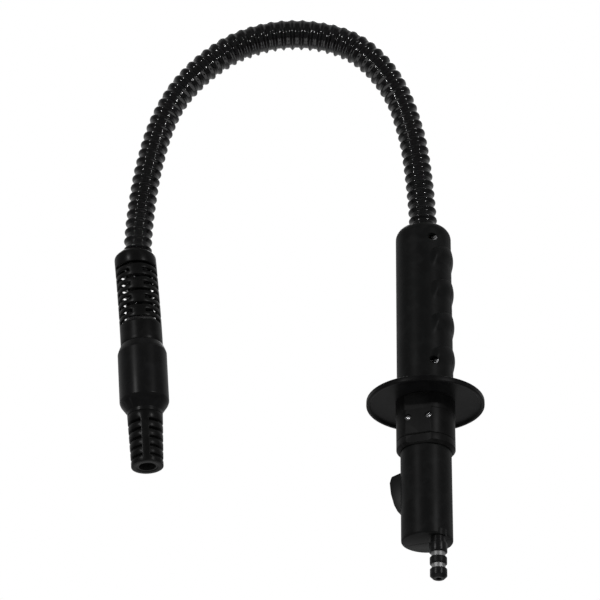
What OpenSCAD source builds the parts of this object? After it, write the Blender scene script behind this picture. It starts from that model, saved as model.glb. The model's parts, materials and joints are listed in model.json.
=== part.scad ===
// Hose-fed valve handpiece, hung by the arch of its corrugated hose, in millimetres.
// The origin is the hang point, at the underside of the arch. +Z is up.
// The handle's axis is vertical, and the connector on the hose's other end leans.

/* [Grip] */
// Radius of the grip
grip_r = 21.4; // [17.8:0.1:25.7]
// Wall of the grip shells
grip_wall = 2.6; // [1.8:0.1:3.4]
// Length of the grip, from its mouth to the guard disc
grip_len = 148.6; // [130:0.1:180]
// Radius of the grip's rounded shoulder
shoulder_r = 8.8; // [5:0.1:9]
// How far the hose goes into the grip
hose_seat = 11; // [9:0.1:13.5]
// Number of finger ridges
ridge_count = 4; // [3:1:4]
// Distance from one finger ridge to the next
ridge_pitch = 29.5; // [24:0.1:30]
// Height of a ridge's crease-to-crest ramp
ridge_ramp = 6.5; // [4:0.1:10]
// Height of the fall below a ridge's crest
ridge_fall = 9; // [6:0.1:12]
// Depth of the creases between the ridges
ridge_depth = 1.8; // [1.4:0.1:2.4]
// Distance from the grip's mouth to the first crease
ridge_start = 21.7; // [18:0.1:26]
// Distance of the grip's screws from the axis, towards the fingers
grip_screw_x = 13.2; // [13.2:0.1:14]
// Distance of the upper grip screw from the mouth
grip_screw_top = 16.3; // [14:0.1:19.5]
// Distance of the lower grip screw from the guard disc
grip_screw_low = 25.1; // [21:0.1:30]

/* [Guard disc] */
// Radius of the guard disc
disc_r = 44.5; // [37:0.1:53.5]
// Thickness of the disc's web
disc_web = 2.4; // [2:0.1:3]
// Height of the disc's rim
disc_rim_h = 4.4; // [3.6:0.1:5.3]
// Width of the disc's rim
disc_rim_w = 2.2; // [1.8:0.1:3]

/* [Collar] */
// Radius of the collar's flange
collar_r = 22.4; // [21.8:0.1:26.8]
// Length of the collar, from the disc to its lower end
collar_len = 41; // [36:0.1:49.2]
// Length of the collar's flange
collar_flange_len = 12.5; // [10.4:0.1:15]
// Depth of the step below the flange
collar_step = 0.3; // [0.2:0.05:0.4]
// Height of the lock ring at the collar's lower end
lock_ring_h = 7.6; // [6.4:0.1:9.2]
// Radius of the necks that the collar holds
neck_r = 17.5; // [17:0.1:17.6]
// Wall of the necks
neck_wall = 2.4; // [2:0.1:2.9]
// Distance of the collar screws below the disc's web
collar_screw_drop = 19.2; // [17:0.1:21]
// Distance of the collar screws from the middle of their flat
collar_screw_x = 7.9; // [6.6:0.1:8.8]
// Distance of the collar's two flats from its axis
collar_flat = 19.9; // [19.6:0.1:21]
// Turn of the collar's flats about the handle
collar_turn = 3; // [0:1:12]
// Thickness of the collar's full rim above its flats
collar_rim_t = 0.7; // [0.6:0.1:1.5]

/* [Barrel] */
// Radius of the lower barrel
barrel_r = 19.1; // [18.6:0.1:20.4]
// Wall of the barrel shells
barrel_wall = 2.6; // [2.2:0.1:3]
// Length of the barrel below the collar
barrel_len = 71.9; // [69:0.1:86]
// Thickness of the barrel's floor
floor_t = 2.4; // [2:0.1:2.9]

/* [Trigger] */
// How far the trigger stands out of the barrel
trigger_proud = 8.2; // [6.8:0.1:9.8]
// Width of the trigger
trigger_w = 9; // [7.5:0.1:10.8]
// Length of the trigger
trigger_len = 32.7; // [31:0.1:34]
// Distance of the trigger's lower end above the barrel's floor face
trigger_low = 24.5; // [22:0.1:26]
// Travel of the trigger in degrees
trigger_travel = 12; // [10:0.5:13]
// Radius of the trigger's pin
pin_r = 1.5; // [1.25:0.05:1.8]

/* [Valve] */
// Height of the valve body
valve_h = 18; // [17.6:0.1:20]
// Radius of the valve stem
stem_r = 1.6; // [1.4:0.05:1.9]
// Radius of the valve's chamber
chamber_r = 4.5; // [4.3:0.1:5]
// Wire radius of the valve spring
wire_r = 0.35; // [0.3:0.05:0.4]
// Coils of the valve spring
coils = 4; // [3:1:5]
// Outer radius of the water tube
tube_r = 4; // [3.5:0.1:4.1]
// Wall of the water tube
tube_wall = 1.2; // [1:0.1:1.4]

/* [Outlet spigot] */
// Distance of the spigot from the handle's axis, towards the fingers
spigot_x = 11; // [10:0.1:11.5]
// Distance of the spigot from the handle's axis, towards the front
spigot_y = 7.5; // [6.6:0.1:8]
// Radius of the spigot's bright core
core_r = 5.1; // [4.6:0.1:5.2]
// Radius of the spigot's bore
spigot_bore_r = 1.95; // [1.6:0.05:2.3]
// Radius of the spigot's seal band and nose
seal_r = 6.3; // [6:0.1:7]
// Radius of the spigot's base
base_r = 6.6; // [6.4:0.1:7.8]
// Height of the neck between the barrel and the spigot's base
base_neck_h = 5.3; // [4.4:0.1:6.3]
// Height of the spigot's base
base_h = 7.1; // [6:0.1:8.5]
// Height of each bright gap on the core
core_gap = 3.9; // [3.3:0.1:4.6]
// Height of the seal band
band_h = 5.2; // [4.4:0.1:6.2]
// Height of the spigot's nose
nose_h = 7.3; // [6.1:0.1:8.7]

/* [Hose] */
// Outer diameter of the corrugated hose
hose_d = 22; // [20:0.1:22.4]

/* [Connector] */
// Radius of the upper strain relief
relief_r = 16.1; // [15.6:0.1:16.4]
// Wall of the upper strain relief
relief_wall = 1.7; // [1.5:0.1:2.4]
// Visible length of the upper strain relief
relief_len = 82; // [74:0.1:98]
// Distance between the slot rows of the upper relief
slot_pitch = 6.03; // [5.1:0.01:6.4]
// Number of slot rows in the upper relief
slot_rows = 9; // [7:1:9]
// Height of a slot
slot_h = 2.7; // [2.2:0.1:3]
// Distance of the first slot row from the relief's top
slot_start = 15.3; // [13:0.1:18]
// Radius of the connector sleeve
sleeve_r = 18.7; // [17.9:0.1:22]
// Length of the connector sleeve
sleeve_len = 59; // [55:0.1:70]
// Length of the sleeve's lower taper
sleeve_taper = 9; // [7.5:0.1:10.8]
// Radius of the lower strain relief at its root
tail_r = 13.4; // [12.8:0.1:14.4]
// Radius of the lower strain relief at its end
tail_end_r = 12.1; // [11.9:0.1:12.6]
// Length of the lower strain relief
tail_len = 41.7; // [39:0.1:50]
// Radius of the inlet bore
inlet_r = 6.5; // [5.5:0.1:7]
// Distance between the slots of the lower relief
tail_pitch = 7.15; // [6:0.05:7.6]
// Depth of the lower relief's slots
tail_slot_depth = 3.4; // [2.8:0.1:3.8]

/* [Fits] */
// Clearance between parts that sit in each other
fit = 0.2; // [0.1:0.05:0.3]
// Running clearance of the pin and the stem
run = 0.05; // [0.02:0.01:0.1]
// Clearance of parts that move past each other
move = 0.5; // [0.3:0.1:0.7]

/* [Hidden] */
$fn = 96;

// The hose's centreline, as [x, z], from the grip over the arch to the connector
hose_route = [
    [101, -186], [101, -168], [100, -150], [98.5, -131], [96.5, -111],
    [93.5, -90], [90, -75], [86, -60], [80.5, -45], [72.5, -29.5],
    [62, -15], [49, -3], [34, 5], [17, 9.5], [0, 11],
    [-17.5, 9.5], [-35, 4.5], [-51.5, -3.5], [-66, -14.5], [-79, -27.5],
    [-90, -42], [-98.5, -57], [-105, -73], [-110, -90], [-113.5, -107],
    [-116.5, -124.5], [-118.5, -142], [-120, -160], [-121, -178], [-121.1, -196],
    [-119.8, -214], [-118.3, -232], [-116.8, -250], [-115.3, -268]
];
hose_sides = 12;
hose_r = hose_d / 2;
slip = 0.4;                     // clearance of the hose in what it passes through
cuff_r = grip_r - shoulder_r + 1.8;   // reaches the slope inside the grip's shoulder

// Heights of the handle, from the hose's end downwards
handle_x = hose_route[0][0];
handle_turn = -22;              // turns the finger side towards the front
adapter_top = hose_route[0][1];
grip_top = adapter_top + hose_seat;
disc_top = grip_top - grip_len;
web_low = disc_top - disc_web;
collar_low = web_low - collar_len;
barrel_top = collar_low - fit;
barrel_low = barrel_top - barrel_len;
floor_top = barrel_low + floor_t;
bore_r = neck_r + fit;          // of the collar and of the guard disc
grip_in = grip_r - grip_wall;
barrel_in = barrel_r - barrel_wall;
ridge_shift = ridge_depth;      // the ridges' own axis lies this far towards the fingers

// The collar's step, which carries the barrel's flange
flange_h = 3;
low_neck_r = neck_r - 1.5;
ledge_z = collar_low + 11.3;
flange_z = ledge_z + fit;
grip_neck_low = flange_z + flange_h + fit;
collar_screw_z = web_low - collar_screw_drop;
collar_seat = collar_flat - 1.7;
collar_shank_r = 1.4;
collar_shank_end = 13;
ring_seat_r = collar_flat - 1.3;
ring_top = collar_low + lock_ring_h;

// Screws
screw_r = 1.5;
screw_head_r = 2.8;
screw_head_h = 2.2;
boss_r = 3.6;
boss_len = 11;
pocket_y = 10.8;                // the screw's seat, from the parting plane
shank_end = 7;
grip_screws_z = [grip_top - grip_screw_top, disc_top + grip_screw_low];
barrel_boss_r = 3;
barrel_boss_len = 9.5;
barrel_seat_y = 7.4;            // the barrel screws' seat, from the parting plane
barrel_shank_end = 5.5;
barrel_screw_x = barrel_in - 3.4;
barrel_screw_at = [
    [barrel_screw_x, barrel_top - 6.4],
    [barrel_screw_x, barrel_top - 36.2],
    [-barrel_screw_x, barrel_top - 4.2]
];

// Trigger, about its pin
trigger_z = barrel_low + trigger_low;
trigger_top = trigger_z + trigger_len;
pin_len = 18;
pin_boss_wall = 1.9;
pin_boss_y = 10.5;              // end of the pin's bosses, from the parting plane
slot_back = 14.2;               // distance of the trigger's slot from the axis
slot_top = trigger_top + 0.8;
slot_low = trigger_z - 0.7;
stem_x = -3;

// Valve, from its body's lower face upwards
valve_low = floor_top + 4.6;
valve_top = valve_low + valve_h;
valve_r = barrel_in - 0.3;
pivot = [-(barrel_in - 3.7), valve_top + 5.5];
arm_low = pivot[1] - 1.5;
arm_tip = -1;
chamber_low = valve_low + 2;
seat_z = valve_top - 6.4;
seat_t = 1.2;
seal_h = 1.2;
head_top = seat_z - seat_t - 0.1 - seal_h;
head_h = 1.8;
plunger_r = chamber_r - 0.6;
gland_r = 5;
gland_low = valve_top - 2;
gland_top = valve_top + 1.2;
stem_top = arm_low - 0.45;
outlet_z = valve_top - 3.6;
inlet_z = chamber_low + 3;
gallery_r = 1.3;
tube_x = 5.5;
tube_y = 4;
tube_low = valve_top - 5;
tube_in = tube_r - tube_wall;
adapter_h = 20;
adapter_r = 12;
adapter_bore_r = 7.5;
tube_top = adapter_top - adapter_h + 6;

// Spigot, from the barrel's lower face downwards
spigot_flange_r = core_r + 0.6;
spigot_flange_h = 1.4;
gasket_t = 1;
core_top = valve_low - gasket_t - fit;
base_low = barrel_low - base_neck_h - base_h;
band_top = base_low - core_gap;
band_low = band_top - band_h;
nose_top = band_low - core_gap;
nose_low = nose_top - nose_h;
nose_chamfer = 2;
cap_t = 1.6;                    // end wall of the nose, over the core's end
fairing_r = max(spigot_flange_r + 0.9, barrel_r - norm([spigot_x, spigot_y]) + 0.5);
fairing_h = floor_t + 2.2;

// Connector, as distances down its own axis from the upper relief's top
conn_x = -121.1;
conn_z = -198.6;
conn_lean = 4.8;
relief_in = relief_r - relief_wall;
relief_mouth_r = hose_r + 0.7;
relief_top_t = 3;
socket_r = relief_r - 1.6;      // the relief's foot, inside the sleeve
socket_len = 12;
sleeve_top = relief_len;
sleeve_low = sleeve_top + sleeve_len;
hose_foot = hose_route[len(hose_route) - 1];
hose_end = norm([hose_foot[0] - conn_x, hose_foot[1] - conn_z]);
tail_low = sleeve_low + tail_len;
web_angle = 18.5;               // half the angle of a web between two slots
tail_web_angle = 14;

function arc(cx, cy, r, a0, a1, n = 12) =
    [for (i = [0:n]) let (a = a0 + (a1 - a0) * i / n) [cx + r * cos(a), cy + r * sin(a)]];

// The direction along the hose at route point i
function along(i) =
    let (a = hose_route[max(i - 1, 0)], b = hose_route[min(i + 1, len(hose_route) - 1)], d = b - a)
    d / norm(d);

// One ring of the hose, square to its route
function hose_ring(i) =
    let (d = along(i), p = hose_route[i])
    [for (k = [0:hose_sides - 1]) let (a = 360 * k / hose_sides)
        [p[0] + hose_r * cos(a) * d[1], hose_r * sin(a), p[1] - hose_r * cos(a) * d[0]]];

// Side faces and end caps for a stack of closed rings
function stack_faces(rings, sides) = concat(
    [for (i = [0:rings - 2], k = [0:sides - 1]) let (a = i * sides, b = a + sides, n = (k + 1) % sides)
        [a + k, a + n, b + n, b + k]],
    [[for (k = [sides - 1:-1:0]) k]],
    [[for (k = [0:sides - 1]) (rings - 1) * sides + k]]
);

module on_handle() {
    translate([handle_x, 0, 0]) rotate([0, 0, handle_turn]) children();
}

// Z = 0 is the upper relief's top, and the connector runs down from it.
module on_connector() {
    translate([conn_x, 0, conn_z]) rotate([0, -conn_lean, 0]) children();
}

module lathe(points) {
    rotate_extrude() polygon(points);
}

// A tube between two heights
module pipe(outer, inner, low, top) {
    lathe([[inner, low], [outer, low], [outer, top], [inner, top]]);
}

// A bar along Y at [x, z], from y0 to y1
module cross_bar(r, at, y0, y1) {
    translate([at[0], y0, at[1]]) rotate([-90, 0, 0]) cylinder(r = r, h = y1 - y0);
}

// A level bar between two points of the plane at height z
module level_bar(r, a, b, z) {
    d = b - a;
    translate([a[0], a[1], z]) rotate([0, 90, atan2(d[1], d[0])]) cylinder(r = r, h = norm(d));
}

// Half of space in front of (side -1) or behind (side 1) the parting plane
module half(side) {
    translate([-100, side < 0 ? -100 : 0, -600]) cube([200, 100, 600]);
}

// ---- hose ----
module hose() {
    color("#101010")
        polyhedron(
            points = [for (i = [0:len(hose_route) - 1]) each hose_ring(i)],
            faces = stack_faces(len(hose_route), hose_sides)
        );
}

// ---- grip ----
module grip_form() {
    lathe(concat(
        [[0, grip_top]],
        arc(grip_r - shoulder_r, grip_top - shoulder_r, shoulder_r, 90, 0),
        [[grip_r, disc_top], [0, disc_top]]
    ));
    crease_r = grip_r - ridge_depth;
    for (i = [0:ridge_count - 1]) translate([ridge_shift, 0, grip_top - ridge_start - i * ridge_pitch])
        lathe([
            [0, 0], [crease_r + 0.3, 0], [grip_r, -ridge_ramp],
            [crease_r, -ridge_ramp - ridge_fall], [0, -ridge_ramp - ridge_fall]
        ]);
}

module grip_cavity() {
    lathe([
        [0, grip_top + 1], [hose_r + slip, grip_top + 1], [hose_r + slip, grip_top - grip_wall],
        [grip_r - shoulder_r, grip_top - grip_wall], [grip_in, grip_top - shoulder_r - 1],
        [grip_in, disc_top + 3], [neck_r - neck_wall, disc_top + 0.5],
        [neck_r - neck_wall, grip_neck_low - 1], [0, grip_neck_low - 1]
    ]);
}

module grip_shell(side) {
    on_handle() difference() {
        intersection() {
            union() {
                difference() {
                    union() {
                        grip_form();
                        translate([0, 0, grip_neck_low])
                            cylinder(r = neck_r, h = disc_top + 1 - grip_neck_low);
                    }
                    grip_cavity();
                }
                for (z = grip_screws_z) cross_bar(boss_r, [grip_screw_x, z], -boss_len, boss_len);
            }
            half(side);
        }
        for (z = grip_screws_z) {
            cross_bar(screw_head_r + 0.3, [grip_screw_x, z], -grip_r - 5, -pocket_y);
            cross_bar(screw_r + run, [grip_screw_x, z], -pocket_y - 1, shank_end + 1);
        }
        collar_bars(collar_shank_r + run, collar_shank_end - 1, neck_r + 1);
    }
}

module grip_front_shell() { color("#151515") grip_shell(-1); }
module grip_rear_shell() { color("#151515") grip_shell(1); }

module grip_screws() {
    color("#c8c8c8") on_handle() for (z = grip_screws_z) union() {
        difference() {
            cross_bar(screw_head_r, [grip_screw_x, z], -pocket_y - screw_head_h, -pocket_y);
            cross_slot([grip_screw_x, z], -pocket_y - screw_head_h);
        }
        cross_bar(screw_r, [grip_screw_x, z], -pocket_y, shank_end);
    }
}

// A cross recess in a screw head that faces along -Y at y
module cross_slot(at, y) {
    for (a = [45, 135]) translate([at[0], y, at[1]]) rotate([0, a, 0])
        translate([-1.6, -1, -0.35]) cube([3.2, 2, 0.7]);
}

module hose_cuff() {
    color("#202020") on_handle()
        pipe(cuff_r, hose_r + slip, adapter_top + 0.5, grip_top - grip_wall - 3);
}

module inlet_adapter() {
    color("#b08d3c") on_handle() difference() {
        translate([0, 0, adapter_top - adapter_h]) cylinder(r = adapter_r, h = adapter_h);
        translate([0, 0, adapter_top - 8]) cylinder(r = adapter_bore_r, h = 9);
        translate([tube_x, tube_y, adapter_top - adapter_h - 1]) cylinder(r = tube_in, h = adapter_h);
        translate([tube_x, tube_y, adapter_top - adapter_h - 1]) cylinder(r = tube_r + run, h = 7);
        // a flat that clears the grip's screw bosses
        translate([grip_screw_x - boss_r - 0.3, -adapter_r, adapter_top - adapter_h - 1])
            cube([adapter_r, 2 * adapter_r, adapter_h + 2]);
    }
}

module water_tube() {
    color("#d8d8d0") on_handle() translate([tube_x, tube_y, 0])
        pipe(tube_r, tube_in, tube_low, tube_top);
}

// ---- guard disc ----
module guard_disc() {
    rim_low = disc_top - disc_rim_h;
    color("#151515") on_handle() lathe(concat(
        [[bore_r, web_low], [bore_r, disc_top]],
        arc(disc_r - 1, disc_top - 1, 1, 90, 0, 4),
        arc(disc_r - 0.8, rim_low + 0.8, 0.8, 0, -90, 4),
        [[disc_r - disc_rim_w, rim_low], [disc_r - disc_rim_w - 1.6, web_low]]
    ));
}

// ---- collar ----
// Bars along the collar's four screws, between two distances from the middle plane
module collar_bars(r, y0, y1) {
    rotate([0, 0, collar_turn]) for (s = [0, 180], x = [-collar_screw_x, collar_screw_x])
        rotate([0, 0, s]) cross_bar(r, [x, collar_screw_z], -y1, -y0);
}

// What is cut away outside the collar's two flats
module collar_flats(low) {
    rotate([0, 0, collar_turn]) for (s = [0, 180]) rotate([0, 0, s])
        translate([-collar_r - 1, -collar_r - 10, low])
            cube([2 * collar_r + 2, collar_r + 10 - collar_flat, web_low - collar_rim_t - low]);
}

module collar() {
    body_r = collar_r - collar_step;
    color("#181818") on_handle() difference() {
        lathe([
            [bore_r, web_low], [collar_r - 0.4, web_low], [collar_r, web_low - 0.4],
            [collar_r, web_low - collar_flange_len], [body_r, web_low - collar_flange_len - 0.4],
            [body_r, ring_top + fit], [ring_seat_r, ring_top + fit], [ring_seat_r, collar_low],
            [low_neck_r + fit, collar_low], [low_neck_r + fit, ledge_z], [bore_r, ledge_z]
        ]);
        collar_flats(collar_low - 1);
        collar_bars(screw_head_r - 0.1, collar_seat, collar_r + 2);
        collar_bars(collar_shank_r + 0.1, 0, collar_r);
    }
}

module collar_screws() {
    color("#c8c8c8") on_handle() rotate([0, 0, collar_turn])
        for (s = [0, 180], x = [-collar_screw_x, collar_screw_x]) rotate([0, 0, s]) union() {
            difference() {
                cross_bar(screw_head_r - 0.3, [x, collar_screw_z], -collar_flat + 0.1, -collar_seat);
                cross_slot([x, collar_screw_z], -collar_flat + 0.1);
            }
            cross_bar(collar_shank_r, [x, collar_screw_z], -collar_seat, -collar_shank_end);
        }
}

module lock_ring() {
    ring_r = collar_r - collar_step;
    color("#181818") on_handle() difference() {
        lathe([
            [ring_seat_r + run, collar_low], [ring_r - 1.8, collar_low], [ring_r, collar_low + 2.2],
            [ring_r, ring_top - 0.6], [ring_r - 0.6, ring_top], [ring_seat_r + run, ring_top]
        ]);
        collar_flats(collar_low - 1);
    }
}

// ---- barrel ----
module spigot_at() {
    translate([spigot_x, -spigot_y, 0]) children();
}

module barrel_form() {
    lathe([
        [0, barrel_low], [barrel_r - 0.6, barrel_low], [barrel_r, barrel_low + 0.6],
        [barrel_r, barrel_top], [low_neck_r, barrel_top], [low_neck_r, flange_z],
        [neck_r, flange_z], [neck_r, flange_z + flange_h], [0, flange_z + flange_h]
    ]);
    spigot_at() translate([0, 0, barrel_low]) {
        cylinder(r = fairing_r, h = fairing_h);
        translate([0, 0, fairing_h]) cylinder(r1 = fairing_r, r2 = 3, h = 3);
    }
}

module barrel_cavity() {
    neck_in = low_neck_r - neck_wall;
    lathe([
        [0, floor_top], [barrel_in, floor_top], [barrel_in, barrel_top - barrel_wall],
        [neck_in, barrel_top - barrel_wall + 2.5], [neck_in, flange_z + flange_h + 1],
        [0, flange_z + flange_h + 1]
    ]);
    spigot_at() translate([0, 0, floor_top]) {
        cylinder(r = spigot_flange_r + fit, h = spigot_flange_h + fit);
        cylinder(r = core_r + fit, h = valve_low - floor_top);
    }
}

module barrel_shell(side) {
    slot_w = trigger_w + 2 * move;
    on_handle() difference() {
        intersection() {
            union() {
                difference() {
                    barrel_form();
                    barrel_cavity();
                }
                for (at = barrel_screw_at) cross_bar(barrel_boss_r, at, -barrel_boss_len, barrel_boss_len);
                cross_bar(pin_r + pin_boss_wall, pivot, -pin_boss_y, -slot_w / 2);
                cross_bar(pin_r + pin_boss_wall, pivot, slot_w / 2, pin_boss_y);
            }
            half(side);
        }
        spigot_at() translate([0, 0, barrel_low - 1]) cylinder(r = core_r + fit, h = floor_t + 2);
        translate([-barrel_r - 5, -slot_w / 2, slot_low])
            cube([barrel_r + 5 - slot_back, slot_w, slot_top - slot_low]);
        cross_bar(pin_r + run, pivot, -pin_len / 2 - run, pin_len / 2 + run);
        for (at = barrel_screw_at) {
            cross_bar(screw_head_r + 0.3, at, barrel_seat_y, barrel_r + 5);
            cross_bar(screw_r + run, at, -barrel_shank_end - 1, barrel_seat_y + 1);
        }
    }
}

module barrel_front_shell() { color("#181818") barrel_shell(-1); }
module barrel_rear_shell() { color("#181818") barrel_shell(1); }

module barrel_screws() {
    color("#c8c8c8") on_handle() for (at = barrel_screw_at) union() {
        difference() {
            cross_bar(screw_head_r, at, barrel_seat_y, barrel_seat_y + screw_head_h);
            translate([0, 2 * (barrel_seat_y + screw_head_h), 0]) mirror([0, 1, 0])
                cross_slot(at, barrel_seat_y + screw_head_h);
        }
        cross_bar(screw_r, at, -barrel_shank_end, barrel_seat_y);
    }
}

// ---- trigger ----
module trigger() {
    nose = barrel_r + trigger_proud;
    lug = sqrt(pow(barrel_in, 2) - pow(trigger_w / 2, 2)) - 0.35;
    color("#1a1a1a") on_handle() difference() {
        translate([0, trigger_w / 2, 0]) rotate([90, 0, 0]) linear_extrude(height = trigger_w) polygon([
            [-lug + 3.5, trigger_top + 3.2], [-lug, trigger_top + 3.2], [-lug, trigger_top],
            [-barrel_r, trigger_top], [1.5 - nose, trigger_top - 2], [-nose, trigger_top - 6.8],
            [0.9 - nose, trigger_top - 15.7], [3.4 - nose, trigger_top - 25.2],
            [6 - nose, trigger_z + 2.1], [-barrel_r, trigger_z], [-valve_r - move, trigger_z],
            [-valve_r - move, valve_top + 1], [pivot[0], pivot[1] - 3.5],
            [pivot[0] + 3, arm_low], [arm_tip, arm_low], [arm_tip, arm_low + 2.4],
            [pivot[0] + 4.5, pivot[1] + 3.5], [pivot[0] + 1.5, pivot[1] + 9]
        ]);
        cross_bar(pin_r + run, pivot, -trigger_w, trigger_w);
    }
}

module trigger_pin() {
    color("#c8c8c8") on_handle() cross_bar(pin_r, pivot, -pin_len / 2, pin_len / 2);
}

// ---- valve ----
module valve_body() {
    stem = [stem_x, 0];
    outlet = [spigot_x, -spigot_y];
    color("#b08d3c") on_handle() difference() {
        translate([0, 0, valve_low]) cylinder(r = valve_r, h = valve_h);
        translate([stem_x, 0, gland_low]) cylinder(r = gland_r + run, h = valve_h);
        translate([stem_x, 0, seat_z]) cylinder(r = 3, h = valve_h);
        translate([stem_x, 0, chamber_low + 1]) cylinder(r = stem_r + 1, h = valve_h);
        translate([stem_x, 0, chamber_low]) cylinder(r = chamber_r, h = seat_z - seat_t - chamber_low);
        translate([tube_x, tube_y, tube_low]) cylinder(r = tube_r + run, h = valve_h);
        translate([tube_x, tube_y, inlet_z - gallery_r]) cylinder(r = tube_in, h = valve_h);
        level_bar(gallery_r, [tube_x, tube_y], stem, inlet_z);
        level_bar(gallery_r, stem, outlet, outlet_z);
        spigot_at() translate([0, 0, valve_low - 1])
            cylinder(r = spigot_bore_r, h = outlet_z - valve_low + 1);
    }
}

module valve_gland() {
    color("#c9a84a") on_handle() translate([stem_x, 0, 0])
        pipe(gland_r, stem_r + run, gland_low, gland_top);
}

module valve_stem() {
    color("#c8c8c8") on_handle() translate([stem_x, 0, 0]) lathe([
        [0, head_top - head_h], [plunger_r, head_top - head_h], [plunger_r, head_top],
        [stem_r, head_top], [stem_r, stem_top - 0.4], [stem_r - 0.4, stem_top], [0, stem_top]
    ]);
}

module valve_seal() {
    color("#202020") on_handle() translate([stem_x, 0, 0])
        pipe(plunger_r - 0.2, stem_r + run, head_top, head_top + seal_h);
}

// A round wire wound between the chamber's floor and the plunger
module valve_spring() {
    turn = 16;
    sides = 8;
    coil_r = plunger_r - wire_r - 0.3;
    low = chamber_low + wire_r + 0.05;
    rise = head_top - head_h - chamber_low - 2 * wire_r - 0.1;
    rings = coils * turn;
    color("#c8c8c8") on_handle() translate([stem_x, 0, 0]) polyhedron(
        points = [for (i = [0:rings], k = [0:sides - 1])
            let (a = 360 * i / turn, t = 360 * k / sides, r = coil_r + wire_r * cos(t))
            [r * cos(a), r * sin(a), low + rise * i / rings + wire_r * sin(t)]],
        faces = [for (f = stack_faces(rings + 1, sides)) [for (k = [len(f) - 1:-1:0]) f[k]]]
    );
}

// ---- outlet spigot ----
module spigot_core() {
    color("#d8d8d8") on_handle() spigot_at() lathe([
        [spigot_bore_r, nose_low + cap_t], [core_r, nose_low + cap_t], [core_r, floor_top + 0.1],
        [spigot_flange_r, floor_top + 0.1], [spigot_flange_r, floor_top + spigot_flange_h],
        [core_r, floor_top + spigot_flange_h], [core_r, core_top], [spigot_bore_r, core_top]
    ]);
}

module spigot_gasket() {
    color("#303030") on_handle() spigot_at()
        pipe(core_r - 0.2, spigot_bore_r + 0.3, core_top + fit / 2, valve_low - fit / 2);
}

module spigot_base() {
    color("#151515") on_handle() spigot_at() lathe([
        [core_r + run, base_low], [base_r - 0.4, base_low], [base_r, base_low + 0.4],
        [base_r, base_low + base_h - 0.6], [base_r - 0.6, base_low + base_h],
        [core_r + 0.4, base_low + base_h], [core_r + 0.4, barrel_low - 0.1], [core_r + run, barrel_low - 0.1]
    ]);
}

module spigot_band() {
    color("#151515") on_handle() spigot_at() lathe([
        [core_r + run, band_low], [seal_r - 0.4, band_low], [seal_r, band_low + 0.4],
        [seal_r, band_top - 0.4], [seal_r - 0.4, band_top], [core_r + run, band_top]
    ]);
}

module spigot_nose() {
    color("#151515") on_handle() spigot_at() lathe([
        [spigot_bore_r, nose_low], [seal_r - nose_chamfer, nose_low], [seal_r, nose_low + nose_chamfer],
        [seal_r, nose_top - 0.4], [seal_r - 0.4, nose_top], [core_r + run, nose_top],
        [core_r + run, nose_low + cap_t], [spigot_bore_r, nose_low + cap_t]
    ]);
}

// ---- connector ----
// A wedge that cuts one slot: centred on angle a, reaching half_angle to each side
module slot_cutter(a, half_angle, inner, outer, z, h) {
    rotate([0, 0, a]) translate([0, 0, z - h / 2]) linear_extrude(height = h)
        polygon(concat(
            arc(0, 0, outer, -half_angle, half_angle, 16),
            arc(0, 0, inner, half_angle, -half_angle, 16)
        ));
}

module upper_relief() {
    color("#161616") on_connector() difference() {
        lathe([
            [0, 0.4], [relief_r - 2.6, 0], [relief_r - 0.7, -1], [relief_r, -3],
            [relief_r, -relief_len + fit], [socket_r, -relief_len + fit],
            [socket_r, -relief_len - socket_len],
            [socket_r - 1.2, -relief_len - socket_len], [socket_r - 1.2, -relief_len + 4],
            [relief_in, -relief_len + 8], [relief_in, -relief_top_t], [0, -relief_top_t]
        ]);
        translate([0, 0, -relief_top_t - 1]) cylinder(r = relief_mouth_r, h = relief_top_t + 2);
        for (i = [0:slot_rows - 1]) for (s = [0, 180])
            slot_cutter(s + (i % 2 == 0 ? -90 : 0), 90 - web_angle, relief_in - 4, relief_r + 2,
                        -slot_start - i * slot_pitch, slot_h);
    }
}

module hose_ferrule() {
    color("#c8c8c8") on_connector()
        pipe(hose_r + 1.5, hose_r + 0.5, -hose_end - 6, -hose_end + 9);
}

module hose_joiner() {
    color("#b08d3c") on_connector() lathe([
        [inlet_r - 2, -sleeve_low + 1], [inlet_r + 2.5, -sleeve_low + 1], [inlet_r + 2.5, -sleeve_low + 8],
        [inlet_r + 5.2, -sleeve_low + 8 + sleeve_taper], [inlet_r + 5.2, -relief_len - socket_len - 0.5],
        [hose_r - 0.5, -relief_len - socket_len + 2], [hose_r - 0.5, -hose_end - 0.3],
        [inlet_r - 2, -hose_end - 0.3]
    ]);
}

module connector_sleeve() {
    top = -sleeve_top;
    low = -sleeve_low;
    color("#151515") on_connector() lathe([
        [socket_r + fit, top], [relief_r + 0.2, top], [sleeve_r - 0.6, top - 4.6], [sleeve_r, top - 6],
        [sleeve_r, low + sleeve_taper + 3], [sleeve_r - 1, low + sleeve_taper + 1],
        [tail_r, low + 3], [tail_r, low],
        [inlet_r + 2.7, low], [inlet_r + 2.7, low + 6], [inlet_r + 5.5, low + sleeve_taper + 5],
        [inlet_r + 5.5, top - socket_len - fit], [socket_r + fit, top - socket_len - fit]
    ]);
}

module tail_relief() {
    top = -sleeve_low - fit;
    low = -tail_low;
    color("#161616") on_connector() difference() {
        lathe([
            [inlet_r + 1.4, top], [tail_r, top], [tail_end_r, low + 3.4],
            [tail_end_r - 0.6, low], [inlet_r + 1.4, low]
        ]);
        for (i = [0:4]) for (s = [0, 180])
            slot_cutter(s, 90 - tail_web_angle, tail_r - tail_slot_depth, tail_r + 3,
                        top - 7.8 - i * tail_pitch, slot_h - 0.3);
    }
}

// The lining of the inlet bore
module tail_seal() {
    color("#262626") on_connector() pipe(inlet_r + 1.4 - run, inlet_r, -tail_low + 0.4, -sleeve_low - fit);
}

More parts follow.
